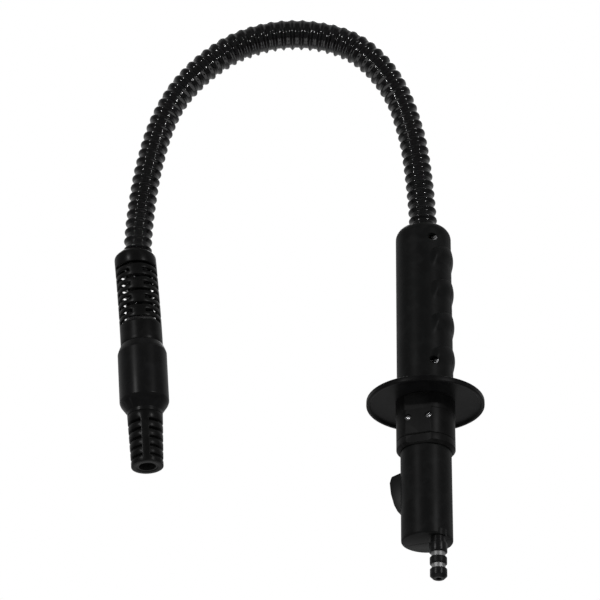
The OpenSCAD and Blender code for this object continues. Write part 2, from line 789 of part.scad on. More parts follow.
hose();
grip_front_shell();
grip_rear_shell();
grip_screws();
hose_cuff();
inlet_adapter();
water_tube();
guard_disc();
collar();
collar_screws();
lock_ring();
barrel_front_shell();
barrel_rear_shell();
barrel_screws();
trigger();
trigger_pin();
valve_body();
valve_gland();
valve_stem();
valve_seal();
valve_spring();
spigot_core();
spigot_gasket();
spigot_base();
spigot_band();
spigot_nose();
upper_relief();
hose_ferrule();
hose_joiner();
connector_sleeve();
tail_relief();
tail_seal();
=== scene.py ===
import json
from math import cos, degrees, pi, radians, sin, sqrt

import bmesh
import bpy
from mathutils import Matrix, Vector


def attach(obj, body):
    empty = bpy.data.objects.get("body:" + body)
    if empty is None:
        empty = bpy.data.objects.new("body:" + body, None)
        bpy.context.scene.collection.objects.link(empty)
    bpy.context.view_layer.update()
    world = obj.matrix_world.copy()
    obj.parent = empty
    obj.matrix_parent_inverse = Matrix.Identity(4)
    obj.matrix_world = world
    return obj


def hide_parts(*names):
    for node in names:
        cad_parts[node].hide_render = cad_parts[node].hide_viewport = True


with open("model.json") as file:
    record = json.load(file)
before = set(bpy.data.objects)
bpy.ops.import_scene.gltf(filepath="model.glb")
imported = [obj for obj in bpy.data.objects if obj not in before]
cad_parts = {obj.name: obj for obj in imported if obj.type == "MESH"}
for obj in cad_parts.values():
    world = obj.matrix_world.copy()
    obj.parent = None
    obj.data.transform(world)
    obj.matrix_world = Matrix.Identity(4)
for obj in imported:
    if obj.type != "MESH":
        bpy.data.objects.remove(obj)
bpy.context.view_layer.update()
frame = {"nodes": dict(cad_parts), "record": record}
nodes = frame["nodes"]
scene = bpy.context.scene
scene.view_settings.view_transform = "Standard"

# ---------------------------------------------------------------- camera
target = Vector((0.0056, 0.0, -0.2375))
eye = Vector((0.0173, -1.6822, -1.1699))
ahead = (target - eye).normalized()
right = ahead.cross(Vector((-0.0110, -0.4848, 0.8746))).normalized()
up = right.cross(ahead)
cam_data = bpy.data.cameras.new("camera")
cam_data.lens = 150
cam_data.sensor_width = 36
cam_data.clip_end = 50
camera = bpy.data.objects.new("camera", cam_data)
scene.collection.objects.link(camera)
turn = Matrix((right, up, -ahead)).transposed().to_4x4()
camera.matrix_world = Matrix.Translation(eye) @ turn
scene.camera = camera

# ---------------------------------------------------------------- sizes, in mm
HANDLE_TURN = radians(-22)
ON_HANDLE = Matrix.Translation((0.101, 0, 0)) @ Matrix.Rotation(HANDLE_TURN, 4, "Z") @ Matrix.Scale(0.001, 4)
ON_SPIGOT = ON_HANDLE @ Matrix.Translation((11, -7.5, 0))
CONNECTOR_LEAN = radians(-4.8)
ON_CONNECTOR = (
    Matrix.Translation((-0.1211, 0, -0.1986))
    @ Matrix.Rotation(CONNECTOR_LEAN, 4, "Y")
    @ Matrix.Scale(0.001, 4)
)
GRIP_TOP, DISC_TOP, WEB_LOW, COLLAR_LOW = -175.0, -323.6, -326.0, -367.0
BARREL_TOP, BARREL_LOW, FLOOR_TOP = -367.2, -439.1, -436.7
GRIP_R, GRIP_IN, NECK_R = 21.4, 18.8, 17.5
BARREL_R, BARREL_IN = 19.1, 16.5
COLLAR_R, COLLAR_FLAT, COLLAR_TURN, RIM_LOW = 22.4, 19.9, radians(3), WEB_LOW - 0.7


# ---------------------------------------------------------------- materials
def link(tree, a, b):
    tree.links.new(a, b)


def plastic(name, color, rough, spread, grain, bump, level, edge_wear_and_highlight=0.35):
    """A dark moulded finish: fine grain, uneven gloss, faint dust, and convex edges painted paler, partly as
    edge wear and partly as a painted highlight.
    """
    m = bpy.data.materials.new(name)
    m.use_nodes = True
    t = m.node_tree
    s = t.nodes["Principled BSDF"]
    s.inputs["Specular IOR Level"].default_value = level
    where = t.nodes.new("ShaderNodeTexCoord")

    def noise(scale, detail, distortion=0.0):
        n = t.nodes.new("ShaderNodeTexNoise")
        n.inputs["Scale"].default_value = scale
        n.inputs["Detail"].default_value = detail
        n.inputs["Distortion"].default_value = distortion
        link(t, where.outputs["Object"], n.inputs["Vector"])
        return n.outputs["Fac"]

    def spread_to(fac, low, high, lo=0.3, hi=0.7):
        r = t.nodes.new("ShaderNodeMapRange")
        r.inputs["From Min"].default_value = lo
        r.inputs["From Max"].default_value = hi
        r.inputs["To Min"].default_value = low
        r.inputs["To Max"].default_value = high
        link(t, fac, r.inputs["Value"])
        return r.outputs["Result"]

    def blend_color(fac, a, b):
        mix = t.nodes.new("ShaderNodeMix")
        mix.data_type = "RGBA"
        link(t, fac, mix.inputs["Factor"])
        for socket, value in ((mix.inputs["A"], a), (mix.inputs["B"], b)):
            if isinstance(value, tuple):
                socket.default_value = value + (1,)
            else:
                link(t, value, socket)
        return mix.outputs["Result"]

    broad = noise(38, 4, 0.4)
    fine = noise(900, 3)
    link(t, spread_to(broad, rough - spread, rough + spread), s.inputs["Roughness"])
    dusty = tuple(min(1, c * 1.35 + 0.0015) for c in color)
    base = blend_color(spread_to(noise(120, 5, 0.6), 0, 1, 0.45, 0.75), color, dusty)
    worn_and_highlit_edge = tuple(min(1, c * 2.0 + 0.008) for c in color)
    # Convex edges, found by pointiness, are painted paler: partly edge wear, partly a painted highlight along
    # the edges.
    geometry = t.nodes.new("ShaderNodeNewGeometry")
    edge = spread_to(geometry.outputs["Pointiness"], 0, edge_wear_and_highlight, 0.53, 0.62)
    link(t, blend_color(edge, base, worn_and_highlit_edge), s.inputs["Base Color"])
    b = t.nodes.new("ShaderNodeBump")
    b.inputs["Strength"].default_value = bump
    b.inputs["Distance"].default_value = grain
    link(t, fine, b.inputs["Height"])
    link(t, b.outputs["Normal"], s.inputs["Normal"])
    return m


def metal(name, color, rough, spread, scratch=0.05):
    # Metals get the same paler edges, edge wear and painted highlight, at a weaker strength.
    m = plastic(name, color, rough, spread, 0.00004, scratch, 0.5, edge_wear_and_highlight=0.1)
    m.node_tree.nodes["Principled BSDF"].inputs["Metallic"].default_value = 1.0
    return m


MATERIALS = {
    "hose": plastic("hose_plastic", (0.002, 0.002, 0.0022), 0.14, 0.03, 0.00003, 0.03, 1.0),
    "shell": plastic("shell_plastic", (0.0048, 0.005, 0.005), 0.42, 0.04, 0.00005, 0.2, 0.1),
    "disc": plastic("disc_plastic", (0.0035, 0.0035, 0.0037), 0.34, 0.04, 0.00005, 0.12, 0.09),
    "collar": plastic("collar_plastic", (0.0042, 0.0042, 0.0042), 0.4, 0.04, 0.00005, 0.16, 0.1),
    "trigger": plastic("trigger_plastic", (0.0035, 0.0035, 0.0036), 0.36, 0.04, 0.00005, 0.2, 0.16),
    "relief": plastic("relief_rubber", (0.004, 0.004, 0.004), 0.32, 0.05, 0.00005, 0.16, 0.14),
    "sleeve": plastic("sleeve_rubber", (0.005, 0.005, 0.0052), 0.32, 0.05, 0.00005, 0.16, 0.14),
    "rubber": plastic("seal_rubber", (0.004, 0.004, 0.004), 0.4, 0.06, 0.00006, 0.2, 0.2),
    "spigot": plastic("spigot_plastic", (0.005, 0.005, 0.0052), 0.3, 0.05, 0.00004, 0.1, 0.2),
    "steel": metal("screw_steel", (0.6, 0.6, 0.61), 0.22, 0.05),
    "bright_metal": metal("bright_metal", (0.42, 0.42, 0.42), 0.5, 0.05),
    "spring": metal("spring_wire", (0.6, 0.6, 0.6), 0.28, 0.06),
    "brass": metal("machined_brass", (0.71, 0.52, 0.25), 0.28, 0.08),
    "tube": plastic("nylon_tube", (0.6, 0.6, 0.57), 0.4, 0.06, 0.00005, 0.1, 0.5),
}


# ---------------------------------------------------------------- mesh helpers
def new_piece(name, verts, faces, place, slot):
    """A piece from points in mm of a local frame, placed in the row frame."""
    mesh = bpy.data.meshes.new(name)
    mesh.from_pydata([place @ Vector(v) for v in verts], [], faces)
    mesh.validate()
    work = bmesh.new()
    work.from_mesh(mesh)
    bmesh.ops.remove_doubles(work, verts=work.verts, dist=1e-7)
    bmesh.ops.recalc_face_normals(work, faces=work.faces)
    work.to_mesh(mesh)
    work.free()
    mesh.materials.append(MATERIALS[slot])
    obj = bpy.data.objects.new(name, mesh)
    scene.collection.objects.link(obj)
    return obj


def keep_modifiers(obj):
    """Turns the object's modifiers into its mesh."""
    bpy.context.view_layer.update()
    seen = obj.evaluated_get(bpy.context.evaluated_depsgraph_get())
    mesh = bpy.data.meshes.new_from_object(seen)
    obj.modifiers.clear()
    obj.data = mesh


def combine(obj, others, how):
    """Cuts the others from obj or joins them to it, and removes them."""
    for other in others:
        m = obj.modifiers.new("boolean", "BOOLEAN")
        m.operation = how
        m.solver = "EXACT"
        m.object = other
    keep_modifiers(obj)
    for other in others:
        bpy.data.objects.remove(other)


def soften(obj, width, segments=2, angle=35):
    m = obj.modifiers.new("bevel", "BEVEL")
    m.width = width / 1000
    m.segments = segments
    m.limit_method = "ANGLE"
    m.angle_limit = radians(angle)
    m.harden_normals = False
    keep_modifiers(obj)


def smooth(obj, angle=32):
    obj.data.polygons.foreach_set("use_smooth", [True] * len(obj.data.polygons))
    obj.data.set_sharp_from_angle(angle=radians(angle))


def finish_piece(obj, body, slot, *replaced, angle=32):
    smooth(obj, angle)
    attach(obj, body)
    if replaced:
        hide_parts(*replaced)
    return obj


def round_turns(points, radius, steps=3):
    """Rounds each corner of a closed outline; radius is one number, or one for each corner."""
    out = []
    n = len(points)
    for i, p in enumerate(points):
        r = radius[i] if isinstance(radius, (list, tuple)) else radius
        a = Vector(points[i - 1]) - Vector(p)
        b = Vector(points[(i + 1) % n]) - Vector(p)
        if r <= 0 or a.length < 1e-6 or b.length < 1e-6:
            out.append(tuple(p))
            continue
        half = a.angle(b) / 2
        reach = min(r / max(0.05, abs(sin(half) / max(1e-6, cos(half)))), a.length * 0.48, b.length * 0.48)
        s, e = Vector(p) + a.normalized() * reach, Vector(p) + b.normalized() * reach
        for k in range(steps + 1):
            u = k / steps
            q = s * (1 - u) ** 2 + Vector(p) * 2 * u * (1 - u) + e * u * u
            out.append((q.x, q.y))
    return out


def revolve(name, outline, place, slot, sides=144, shape=None, span=None, thetas=None):
    """A closed outline of (radius, height) turned about the local axis, all round or between two angles."""
    closed = span is None and thetas is None
    if thetas is None:
        first, last = span or (0, 2 * pi)
        thetas = [first + (last - first) * i / sides for i in range(sides + (0 if closed else 1))]
    verts, faces = [], []
    n = len(outline)
    for a in thetas:
        for r, z in outline:
            if shape:
                r, z = shape(a, r, z)
            verts.append((r * cos(a), r * sin(a), z))
    rows = len(thetas)
    for i in range(rows if closed else rows - 1):
        j = (i + 1) % rows
        for k in range(n):
            m = (k + 1) % n
            faces.append((i * n + k, j * n + k, j * n + m, i * n + m))
    if not closed:
        faces.append(tuple(range(n)))
        faces.append(tuple((rows - 1) * n + k for k in reversed(range(n))))
    return new_piece(name, verts, faces, place, slot)


def bar(radius, start, end, place, sides=48, tip=None):
    """A round bar between two local points, to cut with or to join on. tip is its radius at the far end."""
    a, b = Vector(start), Vector(end)
    axis = (b - a).normalized()
    u = axis.orthogonal().normalized()
    v = axis.cross(u)
    tip = radius if tip is None else tip
    verts = []
    for p, r in ((a, radius), (b, tip)):
        for i in range(sides):
            t = 2 * pi * i / sides
            verts.append(tuple(p + (u * cos(t) + v * sin(t)) * r))
    faces = [(i, (i + 1) % sides, sides + (i + 1) % sides, sides + i) for i in range(sides)]
    faces += [tuple(reversed(range(sides))), tuple(range(sides, 2 * sides))]
    return new_piece("cutter", verts, faces, place, "steel")


BOX_FACES = [(0, 1, 3, 2), (4, 6, 7, 5), (0, 4, 5, 1), (2, 3, 7, 6), (0, 2, 6, 4), (1, 5, 7, 3)]


def block(low, high, place):
    """A cutter: a box between two local corners."""
    (a, b, c), (d, e, f) = low, high
    verts = [(x, y, z) for x in (a, d) for y in (b, e) for z in (c, f)]
    return new_piece("cutter", verts, BOX_FACES, place, "steel")


# ---------------------------------------------------------------- hose
HOSE_POINTS = [
    (101, -186), (101, -168), (100, -150), (98.5, -131), (96.5, -111),
    (93.5, -90), (90, -75), (86, -60), (80.5, -45), (72.5, -29.5),
    (62, -15), (49, -3), (34, 5), (17, 9.5), (0, 11),
    (-17.5, 9.5), (-35, 4.5), (-51.5, -3.5), (-66, -14.5), (-79, -27.5),
    (-90, -42), (-98.5, -57), (-105, -73), (-110, -90), (-113.5, -107),
    (-116.5, -124.5), (-118.5, -142), (-120, -160), (-121, -178), (-121.1, -196),
    (-119.8, -214), (-118.3, -232), (-116.8, -250), (-115.3, -268),
]
RIB_PITCH, RIB_R, GROOVE_R = 8.0, 11.3, 9.0
RIB_STEPS, HOSE_SIDES = 16, 48
BEND_REACH, BEND_GAIN = 54, 5   # steps each way over which a bend is felt, and how strongly
INNER_R, INNER_FLATNESS = 10.4, 0.55
SWELL, SWELL_OUT = 0.1, 1.2
CURVE_STEPS = 24


def smooth_route(points, gap):
    """Points every gap mm along a smooth curve through the route's points."""
    fine = []
    last = len(points) - 1
    for i in range(last):
        p = [Vector(points[min(max(i + d, 0), last)]) for d in (-1, 0, 1, 2)]
        for k in range(CURVE_STEPS):
            t = k / CURVE_STEPS
            fine.append(
                0.5 * (2 * p[1] + (p[2] - p[0]) * t + (2 * p[0] - 5 * p[1] + 4 * p[2] - p[3]) * t * t
                       + (3 * p[1] - p[0] - 3 * p[2] + p[3]) * t ** 3)
            )
    fine.append(Vector(points[-1]))
    run = [0.0]
    for a, b in zip(fine, fine[1:]):
        run.append(run[-1] + (b - a).length)
    count = int(run[-1] / gap)
    out, j = [], 0
    for i in range(count + 1):
        s = run[-1] * i / count
        while j < len(run) - 2 and run[j + 1] < s:
            j += 1
        out.append(fine[j].lerp(fine[j + 1], (s - run[j]) / max(1e-9, run[j + 1] - run[j])))
    return out, run[-1]


def rib_radius(phase, open_side):
    """A narrow rounded rib over a wide, slightly crowned groove. open_side above 0 makes it narrower."""
    wave = 0.5 - 0.5 * cos(2 * pi * phase)
    crest = 0.88 * wave ** (1.7 + 0.8 * open_side) + 0.12 * (1 - wave) ** 6
    return GROOVE_R + (RIB_R - GROOVE_R) * crest


route, hose_length = smooth_route(HOSE_POINTS, RIB_PITCH / RIB_STEPS)
hose_verts, hose_faces, hose_path = [], [], []
for i, p in enumerate(route):
    d = (route[min(i + 1, len(route) - 1)] - route[max(i - 1, 0)]).normalized()
    back, front = route[max(i - BEND_REACH, 0)], route[min(i + BEND_REACH, len(route) - 1)]
    bend = min(1.0, BEND_GAIN * abs((p - back).normalized().cross((front - p).normalized())))
    bend *= min(1.0, max(0.0, (p.y + 150) / 100))
    swell = bend * min(1.0, max(0.0, (p.y + 60) / 60))
    hose_path.append((p.x / 1000, 0.0, p.y / 1000))
    for k in range(HOSE_SIDES):
        a = 2 * pi * k / HOSE_SIDES
        outer = -cos(a)   # 1 on the inside of the arch and -1 on its outside, the reverse of its name
        r = rib_radius((i % RIB_STEPS) / RIB_STEPS, bend * outer)
        if outer < 0:
            r += (INNER_R - r) * INNER_FLATNESS * bend * -outer
        r = r * (1 + SWELL * swell) + SWELL_OUT * swell * max(0.0, outer)
        hose_verts.append((p.x + r * cos(a) * d.y, r * sin(a), p.y - r * cos(a) * d.x))
for i in range(len(route) - 1):
    for k in range(HOSE_SIDES):
        m = (k + 1) % HOSE_SIDES
        here, beyond = i * HOSE_SIDES, (i + 1) * HOSE_SIDES
        hose_faces.append((here + k, here + m, beyond + m, beyond + k))
hose_faces.append(tuple(range(HOSE_SIDES)))
hose_faces.append(tuple((len(route) - 1) * HOSE_SIDES + k for k in reversed(range(HOSE_SIDES))))
hose = new_piece("hose_corrugated", hose_verts, hose_faces, Matrix.Scale(0.001, 4), "hose")
finish_piece(hose, "root", "hose", "hose", angle=60)

# ---------------------------------------------------------------- grip
CREASE_TOP, CREASE_DIP, RIDGE_PITCH = GRIP_TOP - 20.8, 18.0, 29.0
RIDGE_RAMP, RIDGE_FALL, RIDGE_HEIGHT = 6.5, 9.5, 1.55
RIDGE_COUNT, CREASE_WIDTH, CREASE_DEPTH = 4, 0.5, 0.35
CREASE_STEP, RIDGE_START = 1.05, 0.7
RIDGE_FLAT, RIDGE_END = radians(42), radians(57)
GRIP_SCREWS_Z = (-191.3, -298.5)
GRIP_SCREW_X, POCKET_R = 13.2, 3.1
PAD_HALF_HEIGHT, GRIP_PAD_Y, BARREL_PAD_Y = 4.2, 9, 6.2
SHOULDER_X, SHOULDER_R = 12.6, 8.8
NECK_IN, NECK_LOW = 15.1, -352.3


def ridge_height(theta, z):
    """How far a finger ridge stands out: a step at its crease, which dips to the sides, then a low crest."""
    drop = CREASE_TOP - CREASE_DIP * (1 - cos(theta)) - z
    if drop < 0 or drop > RIDGE_COUNT * RIDGE_PITCH:
        return 0.0
    along = drop % RIDGE_PITCH
    if along < CREASE_WIDTH:
        return -CREASE_DEPTH + CREASE_STEP * along / CREASE_WIDTH
    if along < RIDGE_RAMP:
        t = (along - CREASE_WIDTH) / (RIDGE_RAMP - CREASE_WIDTH)
        return RIDGE_START + (RIDGE_HEIGHT - RIDGE_START) * sin(t * pi / 2)
    t = min(1.0, (along - RIDGE_RAMP) / RIDGE_FALL)
    return RIDGE_HEIGHT * (1 - t * t * (3 - 2 * t))


def grip_surface(theta, r, z):
    """The outer wall with its finger ridges, and a thick pad behind each screw pocket."""
    if abs(r - GRIP_IN) < 0.01:
        deg = degrees(theta)
        if any(abs(z - s) < PAD_HALF_HEIGHT for s in GRIP_SCREWS_Z) and -66 < deg < -22:
            return min(GRIP_IN, GRIP_PAD_Y / abs(sin(theta))), z
        return r, z
    if r < GRIP_R - 0.01:
        return r, z
    t = max(0.0, min(1.0, (RIDGE_END - abs(theta)) / (RIDGE_END - RIDGE_FLAT)))
    return r + ridge_height(theta, z) * t * t * (3 - 2 * t), z


def seam_thetas(start, end, step, slit):
    """Angles of a half shell, closer together at its two edges."""
    edge = [slit, slit + radians(0.35), slit + radians(0.9), slit + radians(1.8)]
    count = int((end - start - 2 * edge[-1]) / step)
    middle = [start + edge[-1] + (end - start - 2 * edge[-1]) * i / count for i in range(count + 1)]
    return [start + e for e in edge[:-1]] + middle + [end - e for e in reversed(edge[:-1])]


def with_seam(surface, start, end, depth=0.3, reach=radians(0.95)):
    """Rounds a half shell's outer edges where it meets the other half."""
    def shaped(theta, r, z):
        r2, z2 = surface(theta, r, z)
        d = min(theta - start, end - theta)
        if d < reach and r > 10:
            r2 -= depth * (1 - d / reach) ** 2
        return r2, z2
    return shaped


def heights(high, low, step):
    count = max(1, int(round((high - low) / step)))
    return [high + (low - high) * i / count for i in range(count + 1)]


def grip_outline():
    """From the mouth's lip, down the outside, and back up the inside."""
    lip = [
        (11.5, GRIP_TOP - 0.5), (11.8, GRIP_TOP - 0.1), (12.2, GRIP_TOP),
        (12.7, GRIP_TOP - 0.15), (13.0, GRIP_TOP - 0.5),
    ]
    dome = [
        (SHOULDER_X + SHOULDER_R * sin(radians(a)),
         GRIP_TOP - SHOULDER_R + SHOULDER_R * cos(radians(a)) - 0.25)
        for a in range(12, 90, 6)
    ]
    side = [(GRIP_R, z) for z in heights(GRIP_TOP - 8.9, DISC_TOP + 0.4, 0.5)]
    foot = [
        (GRIP_R - 0.4, DISC_TOP + 0.02), (NECK_R, DISC_TOP + 0.02),
        (NECK_R, NECK_LOW), (NECK_IN, NECK_LOW), (NECK_IN, DISC_TOP + 0.5),
    ]
    inside = [(GRIP_IN, z) for z in heights(DISC_TOP + 3, GRIP_TOP - 10, 1.0)]
    mouth = [(14.2, GRIP_TOP - 5.6), (14.0, GRIP_TOP - 2.6), (11.5, GRIP_TOP - 2.6)]
    return lip + dome + side + foot + inside + mouth


def half_shell(name, outline, surface, side, slot):
    """Side -1 is the front half and 1 the rear half."""
    start, end = (-pi, 0.0) if side < 0 else (0.0, pi)
    thetas = seam_thetas(start, end, radians(1.6), radians(0.12))
    return revolve(name, outline, ON_HANDLE, slot, shape=with_seam(surface, start, end), thetas=thetas)


grip_front = half_shell("grip_shell_front", grip_outline(), grip_surface, -1, "shell")
pockets = [
    bar(POCKET_R, (GRIP_SCREW_X, -10.8, z), (GRIP_SCREW_X, -26, z), ON_HANDLE) for z in GRIP_SCREWS_Z
]
combine(grip_front, pockets, "DIFFERENCE")
finish_piece(grip_front, "root", "shell", "grip_front_shell", angle=38)
grip_rear = half_shell("grip_shell_rear", grip_outline(), grip_surface, 1, "shell")
finish_piece(grip_rear, "root", "shell", "grip_rear_shell", angle=38)

# ---------------------------------------------------------------- guard disc
DISC_IN, DISC_R, DISC_RIM_LOW = 17.7, 44.5, -328.0
disc_outline = round_turns(
    [
        (DISC_IN, DISC_TOP), (DISC_R, DISC_TOP), (DISC_R, DISC_RIM_LOW), (42.3, DISC_RIM_LOW),
        (41.1, WEB_LOW), (DISC_IN, WEB_LOW),
    ],
    [0, 1.0, 0.8, 0.5, 1.2, 0], 6,
)
disc = revolve("guard_flange", disc_outline, ON_HANDLE, "disc", sides=256)
finish_piece(disc, "root", "disc", "guard_disc")

# ---------------------------------------------------------------- collar
ON_FLATS = ON_HANDLE @ Matrix.Rotation(COLLAR_TURN, 4, "Z")
SCREW_X, SCREW_Z, SCREW_SEAT = 7.9, -345.2, 18.2
FLATS_LOW = -368.0
RING_R, COLLAR_STEP_Z, RING_TOP = 22.1, -359.2, -359.4


def flats():
    """Cutters for the collar's front and rear flats."""
    return [
        block((-30, -40, FLATS_LOW), (30, -COLLAR_FLAT, RIM_LOW), ON_FLATS),
        block((-30, COLLAR_FLAT, FLATS_LOW), (30, 40, RIM_LOW), ON_FLATS),
    ]


collar_outline = round_turns(
    [
        (17.7, WEB_LOW), (COLLAR_R - 0.4, WEB_LOW), (COLLAR_R, WEB_LOW - 0.4), (COLLAR_R, -338.5),
        (RING_R, -338.9), (RING_R, COLLAR_STEP_Z), (18.6, COLLAR_STEP_Z), (18.6, COLLAR_LOW),
        (16.2, COLLAR_LOW),
        (16.2, -355.7), (17.7, -355.7),
    ],
    [0, 0.2, 0.2, 0.1, 0.1, 0.4, 0.2, 0, 0, 0, 0], 4,
)


def edge_cut(z, leg):
    """Cutters that chamfer both flats along a level edge at height z."""
    turned = Matrix.Rotation(radians(45), 4, "X")
    half = leg / sqrt(2)
    return [
        block((-30, -half, -half), (30, half, half), ON_FLATS @ Matrix.Translation((0, y, z)) @ turned)
        for y in (-COLLAR_FLAT, COLLAR_FLAT)
    ]


collar = revolve("retaining_collar", collar_outline, ON_HANDLE, "collar", sides=192)
recesses = [
    bar(2.7, (x, s * SCREW_SEAT, SCREW_Z), (x, s * 26, SCREW_Z), ON_FLATS)
    for s in (-1, 1) for x in (-SCREW_X, SCREW_X)
]
combine(collar, flats() + recesses, "DIFFERENCE")
combine(collar, edge_cut(COLLAR_STEP_Z, 0.9), "DIFFERENCE")
finish_piece(collar, "root", "collar", "collar", angle=20)

ring_outline = round_turns(
    [(18.65, COLLAR_LOW), (20.2, COLLAR_LOW), (RING_R, -364.8), (RING_R, RING_TOP), (18.65, RING_TOP)],
    [0, 0.4, 0.5, 0.5, 0], 4,
)
ring = revolve("lock_band", ring_outline, ON_HANDLE, "collar", sides=192)
combine(ring, flats(), "DIFFERENCE")
combine(ring, edge_cut(RING_TOP, 0.6) + edge_cut(COLLAR_LOW, 1.0), "DIFFERENCE")
finish_piece(ring, "root", "collar", "lock_ring", angle=20)


def cross_head(name, place, slot):
    """A domed screw head with a deep cross recess, about a local axis that points outwards."""
    outline = [(0.0, 0.0), (2.5, 0.0), (2.5, 0.9), (2.3, 1.35), (1.8, 1.65), (1.0, 1.85), (0.0, 1.9)]
    head = revolve(name, outline, place, slot, sides=64)
    arms = [
        new_piece(
            "cutter",
            [(x * cos(t) - y * sin(t), x * sin(t) + y * cos(t), z)
             for x in (-1.75, 1.75) for y in (-0.42, 0.42) for z in (0.7, 3)],
            BOX_FACES, place, slot,
        )
        for t in (radians(40), radians(130))
    ]
    combine(head, arms, "DIFFERENCE")
    return head


for side, tag in ((-1, "front"), (1, "rear")):
    for x, end in ((-SCREW_X, "a"), (SCREW_X, "b")):
        seat = ON_FLATS @ Matrix.Translation((x, side * SCREW_SEAT, SCREW_Z))
        seat = seat @ Matrix.Rotation(radians(90 if side < 0 else -90), 4, "X")
        head = cross_head("collar_screw_" + tag + "_" + end, seat, "steel")
        finish_piece(head, "root", "steel", "collar_screws")

# ---------------------------------------------------------------- barrel
barrel_outline = (
    [(16.0, BARREL_TOP)]
    + round_turns(
        [(15.0, BARREL_TOP), (BARREL_R, BARREL_TOP), (BARREL_R, BARREL_TOP - 9)], [0, 0.6, 0], 4
    )[1:-1]
    + [(BARREL_R, z) for z in heights(BARREL_TOP - 1.2, BARREL_LOW + 1.6, 1.0)]
    + [(BARREL_R - 0.12, BARREL_LOW + 0.8), (BARREL_R - 0.45, BARREL_LOW + 0.3), (BARREL_R - 1.0, BARREL_LOW)]
    + [(0.0, BARREL_LOW), (0.0, FLOOR_TOP)]
    + [(BARREL_IN, z) for z in heights(FLOOR_TOP, BARREL_TOP - 2.6, 1.0)]
    + [(13.6, BARREL_TOP - 0.1), (13.6, -351.5), (17.5, -351.5), (17.5, -355.5), (16.0, -355.5)]
)
REAR_SCREWS = ((13.1, -373.6), (13.1, -403.4), (-13.1, -371.4))


def barrel_surface(theta, r, z):
    """A thick pad behind each screw pocket of the rear half."""
    if abs(r - BARREL_IN) < 0.01:
        deg = degrees(theta)
        for x, zc in REAR_SCREWS:
            lean = deg if x > 0 else 180 - deg
            if abs(z - zc) < PAD_HALF_HEIGHT and 20 < lean < 66:
                return min(BARREL_IN, BARREL_PAD_Y / sin(theta)), z
    return r, z


trigger_slot = ((-30, -5, -415.3), (-14.2, 5, -381.1))
seam = ((-30, -0.22, BARREL_LOW - 1), (30, 0.22, BARREL_LOW + 0.5))
barrel_front = half_shell("barrel_shell_front", barrel_outline, barrel_surface, -1, "shell")
FAIRING_R = 6.6
fairing = bar(FAIRING_R, (0, 0, BARREL_LOW + 0.02), (0, 0, BARREL_LOW + 4.6), ON_SPIGOT)
fairing_top = bar(FAIRING_R, (0, 0, BARREL_LOW + 4.59), (0, 0, BARREL_LOW + 7.6), ON_SPIGOT, tip=3)
combine(barrel_front, [fairing, fairing_top], "UNION")
combine(
    barrel_front,
    [
        block(*trigger_slot, ON_HANDLE),
        block(*seam, ON_HANDLE),
        bar(5.3, (0, 0, BARREL_LOW - 1), (0, 0, FLOOR_TOP + 1), ON_SPIGOT),
    ],
    "DIFFERENCE",
)
finish_piece(barrel_front, "root", "shell", "barrel_front_shell", angle=38)
barrel_rear = half_shell("barrel_shell_rear", barrel_outline, barrel_surface, 1, "shell")
combine(
    barrel_rear,
    [block(*trigger_slot, ON_HANDLE), block(*seam, ON_HANDLE)]
    + [bar(POCKET_R, (x, 7.4, z), (x, 26, z), ON_HANDLE) for x, z in REAR_SCREWS],
    "DIFFERENCE",
)
finish_piece(barrel_rear, "root", "shell", "barrel_rear_shell", angle=38)

# ---------------------------------------------------------------- trigger
TRIGGER_Z, TRIGGER_TOP, NOSE = -414.6, -381.9, 27.3
pivot = (-12.8, -408.6)
side_view = round_turns(
    [
        (-12.03, TRIGGER_TOP + 3.2), (-15.53, TRIGGER_TOP + 3.2), (-15.53, TRIGGER_TOP),
        (-BARREL_R, TRIGGER_TOP), (1.5 - NOSE, TRIGGER_TOP - 2), (-NOSE, TRIGGER_TOP - 6.8),
        (0.9 - NOSE, TRIGGER_TOP - 15.7), (3.4 - NOSE, TRIGGER_TOP - 25.2),
        (6 - NOSE, TRIGGER_Z + 2.1), (-BARREL_R, TRIGGER_Z), (-16.7, TRIGGER_Z),
        (-16.7, -413.1), (pivot[0], pivot[1] - 3.5),
        (pivot[0] + 3, pivot[1] - 1.5), (-1, pivot[1] - 1.5), (-1, pivot[1] + 0.9),
        (pivot[0] + 4.5, pivot[1] + 3.5), (pivot[0] + 1.5, pivot[1] + 9),
    ],
    [0.3, 0.3, 0.1, 0.6, 1.6, 2.2, 6, 5, 1.8, 0.6, 0.2, 0.2, 0.5, 0.3, 0.2, 0.2, 1, 1], 4,
)
count = len(side_view)
trigger = new_piece(
    "trigger_lever",
    [(x, y, z) for y in (-4.5, 4.5) for x, z in side_view],
    [tuple(range(count)), tuple(reversed(range(count, 2 * count)))]
    + [(k, (k + 1) % count, count + (k + 1) % count, count + k) for k in range(count)],
    ON_HANDLE, "trigger",
)
combine(trigger, [bar(1.55, (pivot[0], -8, pivot[1]), (pivot[0], 8, pivot[1]), ON_HANDLE)], "DIFFERENCE")
soften(trigger, 0.9, 3, 50)
finish_piece(trigger, "trigger", "trigger", "trigger")

# ---------------------------------------------------------------- spigot
base_piece = revolve("spigot_collar", round_turns(
    [(5.15, -451.5), (6.6, -451.5), (6.6, -444.4), (5.5, -444.4), (5.5, -439.2), (5.15, -439.2)],
    [0, 0.5, 0.6, 0.2, 0.1, 0], 4), ON_SPIGOT, "spigot", sides=96)
finish_piece(base_piece, "root", "spigot", "spigot_base")
band_piece = revolve("spigot_seal", round_turns(
    [(5.15, -460.6), (6.3, -460.6), (6.3, -455.4), (5.15, -455.4)], [0, 0.5, 0.5, 0], 4),
    ON_SPIGOT, "rubber", sides=96)
finish_piece(band_piece, "root", "rubber", "spigot_band")
nose_piece = revolve("spigot_tip", round_turns(
    [
        (1.95, -471.8), (4.3, -471.8), (6.3, -469.8), (6.3, -464.5),
        (5.15, -464.5), (5.15, -470.2), (1.95, -470.2),
    ],
    [0.3, 0.4, 0.6, 0.5, 0, 0, 0], 4), ON_SPIGOT, "spigot", sides=96)
finish_piece(nose_piece, "root", "spigot", "spigot_nose")


